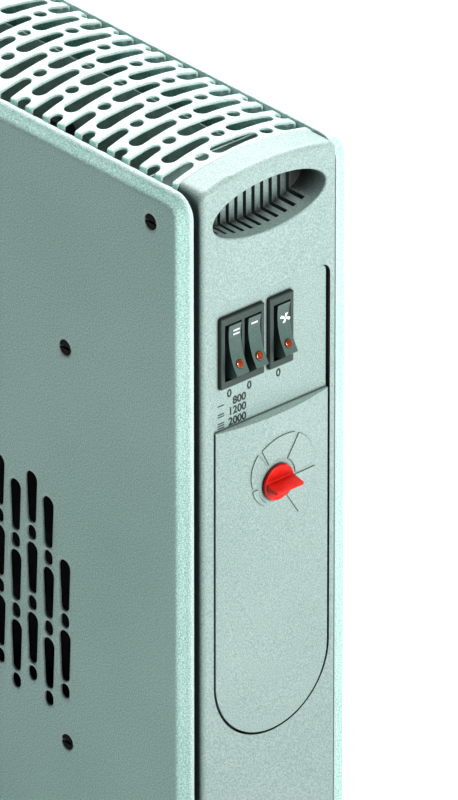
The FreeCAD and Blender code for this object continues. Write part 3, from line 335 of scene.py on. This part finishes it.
# Glass-filled nylon of the switch bodies: dark and low in gloss, with painted shade that turns it black deep in
# the wells.
SWITCH_NYLON = Finish(
    "moulded_nylon_black", colour="#34463F", mottle="#2C3C36", roughness=0.4, spread=0.05,
    pattern=Pattern.SPARKED, pattern_mm=0.6, relief_mm=0.012, wear_and_light_colour="#5A6E66", painted_shade=1.0, painted_shade_mm=16.0)
# Polished polycarbonate rockers, finely scuffed by use: dark charcoal with soft, broken highlights.
ROCKER_PC = Finish(
    "polished_polycarbonate_charcoal", colour="#4E6660", mottle="#425852", roughness=0.36, spread=0.04,
    pattern=Pattern.SPARKED, pattern_mm=0.7, relief_mm=0.01, wear_and_light_colour="#6F8883")
# Tinted polycarbonate lamp lenses: deep orange red with a wet gloss, and a near-black rim painted round the edge
# as painted shade.
LENS_PC = Finish(
    "tinted_polycarbonate_lens", colour="#A04A22", mottle="#74301A", roughness=0.1, spread=0.03,
    pattern=Pattern.SMOOTH, pattern_mm=1.5, relief_mm=0.01,
    coat=1.0, coat_roughness=0.03, transmission=0.1, wear_and_light_colour="#160A06", wear_and_light_share=0.9)
# Moulded ABS knob: saturated red with soft highlights, and pink edges that are a painted highlight.
KNOB_ABS = Finish(
    "moulded_abs_red", colour="#E81404", mottle="#D80E02", roughness=0.42, spread=0.05,
    pattern=Pattern.SMOOTH, pattern_mm=3.0, relief_mm=0.012, specular=0.3, wear_and_light_colour="#FF8D80", wear_and_light_share=0.6)
# Galvanised sheet after years of warm air: dull grey-green zinc with faint crystal patches.
ZINC_SHEET = Finish(
    "weathered_galvanised_sheet", colour="#BAD2CA", mottle="#A9C3BA", roughness=0.75, spread=0.08,
    pattern=Pattern.SPANGLE, pattern_mm=9.0, relief_mm=0.01, metallic=0.1, wear_and_light_colour="#B4CAC2", painted_shade=0.3)
# Front shield in dead matt black, a painted shade that makes the vents in front of it read as dark holes.
SHIELD_SHADE_BLACK = Finish(
    "shield_painted_shade_black", colour="#050706", mottle="#080B0A", roughness=0.85, spread=0.06,
    pattern=Pattern.ORANGE_PEEL, pattern_mm=1.4, relief_mm=0.03, specular=0.15, wear_and_light_colour="#0C100E")
# Zinc-plated turned steel: bright with fine drawn lines.
ZINC_SCREW = Finish(
    "zinc_plated_steel", colour="#B9BDBD", mottle="#A4A9A9", roughness=0.28, spread=0.06,
    pattern=Pattern.ROLLED, pattern_mm=0.6, relief_mm=0.008, metallic=1.0)
# Black-lacquered steel screws: flat black, so each reads as a small dark spot.
BLACK_LACQUER = Finish(
    "black_lacquered_steel", colour="#040505", mottle="#080A09", roughness=0.6, spread=0.08,
    pattern=Pattern.SPARKED, pattern_mm=0.9, relief_mm=0.01, specular=0.12, wear_and_light_colour="#0C0F0E")
# Heat-tinted element sheath: brown-grey oxide on steel.
SHEATH_STEEL = Finish(
    "heat_tinted_steel", colour="#5A524B", mottle="#453C38", roughness=0.4, spread=0.08,
    pattern=Pattern.ROLLED, pattern_mm=1.2, relief_mm=0.01, metallic=1.0, wear_and_light_colour="#6E655C")
# Rolled aluminium fins and rotor: pale and streaky.
FIN_ALUMINIUM = Finish(
    "rolled_aluminium", colour="#C2C5C6", mottle="#AEB2B3", roughness=0.34, spread=0.07,
    pattern=Pattern.ROLLED, pattern_mm=0.8, relief_mm=0.008, metallic=1.0)
# Fired steatite insulators: chalky cream.
STEATITE = Finish(
    "fired_steatite", colour="#DDD8C8", mottle="#CFC8B5", roughness=0.65, spread=0.08,
    pattern=Pattern.SPARKED, pattern_mm=0.9, relief_mm=0.02, wear_and_light_colour="#EAE6DA")
# Lacquered motor can: dark grey.
MOTOR_LACQUER = Finish(
    "lacquered_steel_grey", colour="#3B3F41", mottle="#333739", roughness=0.4, spread=0.05,
    pattern=Pattern.ORANGE_PEEL, pattern_mm=1.5, relief_mm=0.02, coat=0.2, wear_and_light_colour="#5A5F61")
# Sintered bronze bearing: dull and porous.
BRONZE = Finish(
    "sintered_bronze", colour="#8E6B3E", mottle="#7A5931", roughness=0.5, spread=0.08,
    pattern=Pattern.SPARKED, pattern_mm=0.9, relief_mm=0.02, metallic=1.0, wear_and_light_colour="#B08D5C")
# Stamped brass tabs and clamp screws: yellow and slightly tarnished.
BRASS = Finish(
    "stamped_brass", colour="#C4A45A", mottle="#AE8C45", roughness=0.32, spread=0.07,
    pattern=Pattern.ROLLED, pattern_mm=0.7, relief_mm=0.008, metallic=1.0, wear_and_light_colour="#DCC384")
# Natural nylon terminal block: waxy cream.
NATURAL_NYLON = Finish(
    "moulded_nylon_natural", colour="#DCDACB", mottle="#D0CDBB", roughness=0.45, spread=0.05,
    pattern=Pattern.SMOOTH, pattern_mm=2.0, relief_mm=0.012, wear_and_light_colour="#EDEBDF")
# Extruded silicone sleeving: soft and dull.
SILICONE = Finish(
    "extruded_silicone", colour="#C9BFA9", mottle="#BDB29B", roughness=0.6, spread=0.06,
    pattern=Pattern.ROLLED, pattern_mm=1.0, relief_mm=0.015, sheen=0.15, wear_and_light_colour="#DDD4C0")
# Moulded rubber pads and bush: matt black with a faint bloom.
RUBBER = Finish(
    "moulded_rubber", colour="#141615", mottle="#1E2120", roughness=0.72, spread=0.06,
    pattern=Pattern.SPARKED, pattern_mm=0.9, relief_mm=0.03, sheen=0.1, wear_and_light_colour="#2C302E")
# Moulded polypropylene feet: dark grey-green with a fine grain.
FOOT_PP = Finish(
    "moulded_polypropylene", colour="#56645F", mottle="#4C5A56", roughness=0.5, spread=0.06,
    pattern=Pattern.SPARKED, pattern_mm=1.2, relief_mm=0.03, wear_and_light_colour="#6E7D78")
# Screen-printed ink: flat and slightly raised.
DARK_INK = Finish(
    "screen_printed_ink_dark", colour="#1B2A27", mottle="#24332F", roughness=0.55, spread=0.05,
    pattern=Pattern.SPARKED, pattern_mm=0.8, relief_mm=0.004, wear_and_light_colour="#2A3936")
WHITE_INK = Finish(
    "screen_printed_ink_white", colour="#F2F7F5", mottle="#E3EBE8", roughness=0.5, spread=0.05,
    pattern=Pattern.SPARKED, pattern_mm=0.8, relief_mm=0.004, wear_and_light_colour="#F8FBFA")
# Matt paint of the studio floor: pale and even.
FLOOR_PAINT = Finish(
    "matt_floor_paint", colour="#F6F8F8", mottle="#F2F5F5", roughness=0.8, spread=0.05,
    pattern=Pattern.SPARKED, pattern_mm=6.0, relief_mm=0.02)

SLOT_FINISH: dict[str, Finish] = {
    "painted_steel": POWDER_COAT,
    "galvanised_steel": ZINC_SHEET,
    "shield_black": SHIELD_SHADE_BLACK,
    "moulded_casing": CASING_ABS,
    "moulded_fascia": FASCIA_ABS,
    "black_nylon": SWITCH_NYLON,
    "rocker_plastic": ROCKER_PC,
    "neon_lens": LENS_PC,
    "tab_brass": BRASS,
    "bright_steel": ZINC_SCREW,
    "red_plastic": KNOB_ABS,
    "black_screws": BLACK_LACQUER,
    "element_sheath": SHEATH_STEEL,
    "fin_aluminium": FIN_ALUMINIUM,
    "steatite": STEATITE,
    "motor_steel": MOTOR_LACQUER,
    "bearing_bronze": BRONZE,
    "terminal_nylon": NATURAL_NYLON,
    "lead_silicone": SILICONE,
    "grommet_rubber": RUBBER,
    "foot_plastic": FOOT_PP,
}


def new_piece(name: str, mesh: bpy.types.Mesh, finish: Finish, body: str) -> None:
    """Add a mesh to the scene as a piece that rides on a body.

    Args:
        name: the piece's name.
        mesh: its mesh, in the frame's own place.
        finish: its material.
        body: the body it moves with.
    """
    piece = bpy.data.objects.new(name, mesh)
    bpy.context.scene.collection.objects.link(piece)
    mesh.materials.clear()
    mesh.materials.append(finish.material())
    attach(piece, body)
    LOG.info("piece %s rides on %s", name, body)


@dataclass
class Casework:
    """The CAD pieces that stay as they are and take a finish by slot.

    Attributes:
        record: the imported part's record.
    """

    record: dict = field(default_factory=lambda: frame["record"])

    def dress(self) -> None:
        """Give every CAD node the finish of its slot."""
        for part in self.record["subparts"]:
            node = frame["nodes"][part["node"]]
            finish = SLOT_FINISH[part["material_slot"]]
            node.data.materials.clear()
            node.data.materials.append(finish.material())
            LOG.info("node %s takes %s", part["node"], finish.name)


@dataclass
class Plane:
    """A flat place on the heater, seen square on.

    Attributes:
        origin: a point on it.
        lean: turn about +Y from upright, in radians; positive faces it down.
    """

    origin: Vector
    lean: float

    def matrix(self, right: float, up: float, lift: float = 0.0) -> Matrix:
        """Place something drawn in its own XY plane.

        Args:
            right: distance along +Y.
            up: distance up the plane.
            lift: height above the plane.

        Returns:
            A matrix whose X runs along +Y and whose Z points out of the plane.
        """
        out = Vector((math.cos(self.lean), 0.0, -math.sin(self.lean)))
        rise = Vector((math.sin(self.lean), 0.0, math.cos(self.lean)))
        across = Vector((0.0, 1.0, 0.0))
        place = self.origin + across * right + rise * up + out * lift
        turn = Matrix((across, rise, out)).transposed().to_4x4()
        return Matrix.Translation(place) @ turn


def flat_mesh(name: str, outlines: Sequence[Outline], thickness: float, matrix: Matrix) -> bpy.types.Mesh:
    """Make thin raised marks from flat outlines.

    Args:
        name: the mesh's name.
        outlines: closed outlines, anticlockwise, in the matrix's XY plane.
        thickness: height of the marks.
        matrix: where the plane lies.

    Returns:
        The mesh.
    """
    shape = bmesh.new()
    for outline in outlines:
        low = [shape.verts.new((x, y, 0.0)) for x, y in outline]
        high = [shape.verts.new((x, y, thickness)) for x, y in outline]
        shape.faces.new(high)
        shape.faces.new(list(reversed(low)))
        for i in range(len(outline)):
            j = (i + 1) % len(outline)
            shape.faces.new((low[i], low[j], high[j], high[i]))
    shape.transform(matrix)
    mesh = bpy.data.meshes.new(name)
    shape.to_mesh(mesh)
    shape.free()
    return mesh


def text_mesh(name: str, words: str, height: float, thickness: float, matrix: Matrix,
              boldness: float = 0.13 * MM) -> bpy.types.Mesh:
    """Make thin raised characters, centred on their place.

    Args:
        name: the mesh's name.
        words: the characters.
        height: height of a figure.
        thickness: height of the ink.
        matrix: where the middle of the text lies.
        boldness: how far each stroke is widened.

    Returns:
        The mesh.
    """
    curve = bpy.data.curves.new(name, "FONT")
    curve.body = words
    curve.size = height / FIGURE_SHARE
    curve.align_x = "CENTER"
    curve.align_y = "CENTER"
    curve.extrude = thickness / 2
    curve.offset = boldness
    holder = bpy.data.objects.new(name, curve)
    bpy.context.scene.collection.objects.link(holder)
    mesh = bpy.data.meshes.new_from_object(holder.evaluated_get(bpy.context.evaluated_depsgraph_get()))
    bpy.data.objects.remove(holder)
    bpy.data.curves.remove(curve)
    mesh.transform(matrix)
    return mesh


def stacked_bars(count: int, pitch: float, length: float, height: float) -> list[Outline]:
    """Draw like bars one above the other, about a middle point.

    Args:
        count: how many bars.
        pitch: distance from one bar to the next.
        length: length of a bar.
        height: height of a bar.

    Returns:
        One outline for each bar, from the lowest up.
    """
    half_l, half_h = length / 2, height / 2
    middles = [(i - (count - 1) / 2) * pitch for i in range(count)]
    return [[(-half_l, y - half_h), (half_l, y - half_h), (half_l, y + half_h), (-half_l, y + half_h)]
            for y in middles]


@dataclass(frozen=True)
class WattRow:
    """One printed wattage with the bars beside it.

    Attributes:
        words: the figures.
        y: middle of the figures along Y.
        drop: middle of the row below the panels' top rim.
        bars: how many bars stand beside the figures.
    """

    words: str
    y: float
    drop: float
    bars: int


@dataclass
class FasciaPrint:
    """Figures and bars printed on the sunk switch panel.

    Attributes:
        rim_z: height of the panels' top rim.
        face_x: end face of the cap.
        recess: depth of the panel below the end face.
        figure: height of the figures.
        ink: thickness of the ink.
        off_places: middles of the off marks along Y.
        off_drop: off marks below the rim.
        watt_rows: the wattages, from the top row down.
        bars_y: middle of their bars along Y.
        bar_pitch: distance from one bar to the next.
        bar_length: length of a bar.
        bar_height: height of a bar.
    """

    rim_z: float
    face_x: float
    recess: float = 1.4 * MM
    figure: float = 3.5 * MM
    ink: float = 0.06 * MM
    off_places: tuple[float, ...] = (-19.95 * MM, -8.8 * MM, 7.5 * MM)
    off_drop: float = 98.5 * MM
    watt_rows: tuple[WattRow, ...] = (
        WattRow("800", y=-14.35 * MM, drop=102.7 * MM, bars=1),
        WattRow("1200", y=-15.5 * MM, drop=107.3 * MM, bars=2),
        WattRow("2000", y=-15.5 * MM, drop=112.1 * MM, bars=3),
    )
    bars_y: float = -24.7 * MM
    bar_pitch: float = 1.1 * MM
    bar_length: float = 3.6 * MM
    bar_height: float = 0.4 * MM

    def place(self, y: float, drop: float) -> Matrix:
        """Matrix of a mark at a distance along Y and a drop below the rim."""
        panel = Plane(Vector((self.face_x - self.recess, 0.0, self.rim_z)), 0.0)
        return panel.matrix(y, -drop, self.ink / 2)

    def figures(self, name: str, words: str, y: float, drop: float) -> None:
        """Print one line of figures at a distance along Y and a drop below the rim."""
        mesh = text_mesh(name, words, self.figure, self.ink, self.place(y, drop))
        new_piece(name, mesh, DARK_INK, "case")

    def build(self) -> None:
        """Print the off marks, the wattages and their bars."""
        for index, y in enumerate(self.off_places):
            self.figures(f"off_mark_{index}", "0", y, self.off_drop)
        for row in self.watt_rows:
            self.figures(f"watts_{row.words}", row.words, row.y, row.drop)
            name = f"watt_bars_{row.words}"
            strokes = stacked_bars(row.bars, self.bar_pitch, self.bar_length, self.bar_height)
            mesh = flat_mesh(name, strokes, self.ink, self.place(self.bars_y, row.drop))
            new_piece(name, mesh, DARK_INK, "case")


class Symbol(Enum):
    """Mark printed in white on a rocker, valued by its number of bars."""

    TWO_BARS = 2
    ONE_BAR = 1
    FAN = 0


# One blade of the fan symbol, in millimetres from its hub.
FAN_BLADE: Outline = [(0.2, -0.3), (0.9, -1.0), (1.9, -1.6), (2.8, -1.2),
                      (2.9, -0.4), (2.1, -0.1), (1.2, 0.1), (0.35, 0.3)]
FAN_BLADES = 4


@dataclass
class RockerMark:
    """White symbol near the upper end of a rocker's hollow face.

    Attributes:
        body: the rocker's body.
        pivot: middle of its hinge.
        symbol: which mark it carries.
        right: middle of the mark to the right of the rocker's middle.
        rise: middle of the mark above the rocker's middle.
        lean: turn of the rocker at rest about +Y, in radians.
        offset: distance of the rocker's middle from the hinge's middle.
        pivot_depth: hinge below the bezel's back.
        end: height of the face's ends above the bezel's back.
        middle: height of the face's middle above the bezel's back.
        radius: reach of the rocker's ends from its hinge.
        ink: thickness of the mark.
        bar_pitch: distance from one bar to the next.
        bar_length: length of a bar.
        bar_height: height of a bar.
    """

    body: str
    pivot: Vector
    symbol: Symbol
    right: float
    rise: float
    lean: float = math.radians(-13.0)
    offset: float = 1.1 * MM
    pivot_depth: float = 2.0 * MM
    end: float = 4.8 * MM
    middle: float = 2.5 * MM
    radius: float = 13.0 * MM
    ink: float = 0.08 * MM
    bar_pitch: float = 1.8 * MM
    bar_length: float = 3.6 * MM
    bar_height: float = 0.85 * MM

    def outlines(self) -> list[Outline]:
        """Draw the symbol in its own plane.

        Returns:
            One outline for each bar or blade.
        """
        if self.symbol is not Symbol.FAN:
            return stacked_bars(self.symbol.value, self.bar_pitch, self.bar_length, self.bar_height)
        blades = []
        for index in range(FAN_BLADES):
            turn = index * math.tau / FAN_BLADES
            blades.append([(MM * (x * math.cos(turn) - y * math.sin(turn)),
                            MM * (x * math.sin(turn) + y * math.cos(turn))) for x, y in FAN_BLADE])
        return blades

    def build(self) -> None:
        """Add the mark on the rocker's face."""
        half = math.sqrt(self.radius ** 2 - (self.end + self.pivot_depth) ** 2)
        hollow = self.end - self.middle
        bend = (half ** 2 + hollow ** 2) / (2 * hollow)
        height = self.middle + bend - math.sqrt(bend ** 2 - self.rise ** 2) + self.pivot_depth
        slope = math.asin(self.rise / bend)
        place = Plane(self.pivot, self.lean).matrix(0.0, self.rise, height).to_translation()
        spot = Plane(place, self.lean + slope)
        name = f"{self.body}_mark"
        mesh = flat_mesh(name, self.outlines(), self.ink, spot.matrix(self.offset + self.right, 0.0))
        new_piece(name, mesh, WHITE_INK, self.body)


# Each rocker's symbol, with the mark's right and rise.
ROCKER_MARKS: dict[str, tuple[Symbol, float, float]] = {
    "high_heat_switch": (Symbol.TWO_BARS, 0.9 * MM, 7.4 * MM),
    "low_heat_switch": (Symbol.ONE_BAR, 0.0, 8.1 * MM),
    "fan_switch": (Symbol.FAN, 0.9 * MM, 4.3 * MM),
}


@dataclass(frozen=True)
class Lamp:
    """A square soft light.

    Attributes:
        name: the light's name.
        place: where it hangs.
        target: the point it faces.
        size: its side.
        watts: its power.
        colour: sRGB hex colour.
    """

    name: str
    place: tuple[float, float, float]
    target: tuple[float, float, float]
    size: float
    watts: float
    colour: str = "#FFFFFF"

    def build(self) -> None:
        """Hang the light."""
        data = bpy.data.lights.new(self.name, "AREA")
        data.size = self.size
        data.energy = self.watts
        data.color = linear(self.colour)[:3]
        light = bpy.data.objects.new(self.name, data)
        light.location = self.place
        beam = Vector(self.target) - Vector(self.place)
        light.rotation_euler = beam.to_track_quat("-Z", "Y").to_euler()
        bpy.context.scene.collection.objects.link(light)
        LOG.info("lamp %s hangs", self.name)


LAMPS: tuple[Lamp, ...] = (
    Lamp("backlight", place=(-1.6, 3.0, 3.8), target=(0.0, 0.0, 0.0), size=2.5, watts=310.0),
    Lamp("overhead", place=(-0.2, 0.06, 0.95), target=(0.1, 0.0, 0.4), size=0.3, watts=6.0),
    Lamp("right_side", place=(0.88, 0.02, 0.6), target=(0.31, 0.0, 0.42), size=0.25, watts=5.4),
    Lamp("front_fill", place=(0.42, -0.25, 0.72), target=(0.3, -0.04, 0.48), size=0.15, watts=0.07,
         colour="#DDFFF6"),
)


@dataclass
class Studio:
    """Floor, soft lights and the camera.

    Attributes:
        rim_z: height of the panels' top rim.
        face_x: end face of the cap.
        aim_inset: middle of the picture, in from the end face.
        aim_y: middle of the picture along Y.
        aim_drop: middle of the picture below the rim.
        azimuth: camera's turn about the heater, in degrees.
        elevation: its height angle, in degrees.
        distance: from the point it aims at.
        focal_px: focal length in pixels of the picture.
        picture: width and height of the picture.
        sensor_mm: width of the camera's sensor.
        clip_end: how far the camera sees.
        floor_half: half the floor's side.
        ambient: strength of the light from all round.
        ambient_colour: sRGB hex colour of that light.
    """

    rim_z: float
    face_x: float
    aim_inset: float = 8.5 * MM
    aim_y: float = -13.79 * MM
    aim_drop: float = 106.65 * MM
    azimuth: float = 48.24
    elevation: float = 28.485
    distance: float = 6.4828
    focal_px: float = 15500.0
    picture: tuple[int, int] = (458, 800)
    sensor_mm: float = 36.0
    clip_end: float = 200.0
    floor_half: float = 12.0
    ambient: float = 0.01
    ambient_colour: str = "#F4FAFA"

    def camera(self) -> None:
        """Add the camera, level across and free of shift."""
        data = bpy.data.cameras.new("camera")
        data.sensor_width = self.sensor_mm
        data.lens = self.focal_px * self.sensor_mm / max(self.picture)
        data.clip_end = self.clip_end
        eye = bpy.data.objects.new("camera", data)
        aim = Matrix.Translation((self.face_x - self.aim_inset, self.aim_y, self.rim_z - self.aim_drop))
        around = Matrix.Rotation(math.radians(self.azimuth), 4, "Z")
        turn = around @ Matrix.Rotation(math.radians(90.0 - self.elevation), 4, "X")
        eye.matrix_world = aim @ turn @ Matrix.Translation((0.0, 0.0, self.distance))
        bpy.context.scene.collection.objects.link(eye)
        bpy.context.scene.camera = eye

    def floor(self) -> None:
        """Add the pale floor."""
        mesh = bpy.data.meshes.new("floor")
        half = self.floor_half
        corners = [(-half, -half, 0.0), (half, -half, 0.0), (half, half, 0.0), (-half, half, 0.0)]
        mesh.from_pydata(corners, [], [(0, 1, 2, 3)])
        plane = bpy.data.objects.new("floor", mesh)
        bpy.context.scene.collection.objects.link(plane)
        mesh.materials.append(FLOOR_PAINT.material())

    def build(self) -> None:
        """Set up the whole studio."""
        scene = bpy.context.scene
        scene.view_settings.view_transform = "Standard"
        world = bpy.data.worlds.new("studio")
        world.use_nodes = True
        background = world.node_tree.nodes["Background"]
        background.inputs["Color"].default_value = linear(self.ambient_colour)
        background.inputs["Strength"].default_value = self.ambient
        scene.world = world
        self.floor()
        for lamp in LAMPS:
            lamp.build()
        self.camera()


def main() -> None:
    """Dress the frame, add the printed marks and set up the studio."""
    logging.basicConfig(level=logging.INFO, format="%(name)s: %(message)s")
    rim_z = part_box("front_panel")[1][2]
    face_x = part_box("right_end_cap")[1][0]
    Casework().dress()
    FasciaPrint(rim_z=rim_z, face_x=face_x).build()
    for joint in frame["joints"]:
        body = joint["child"]
        if body in ROCKER_MARKS:
            RockerMark(body, Vector(joint["pos_m"]), *ROCKER_MARKS[body]).build()
    Studio(rim_z=rim_z, face_x=face_x).build()


if __name__ == "__main__":
    main()
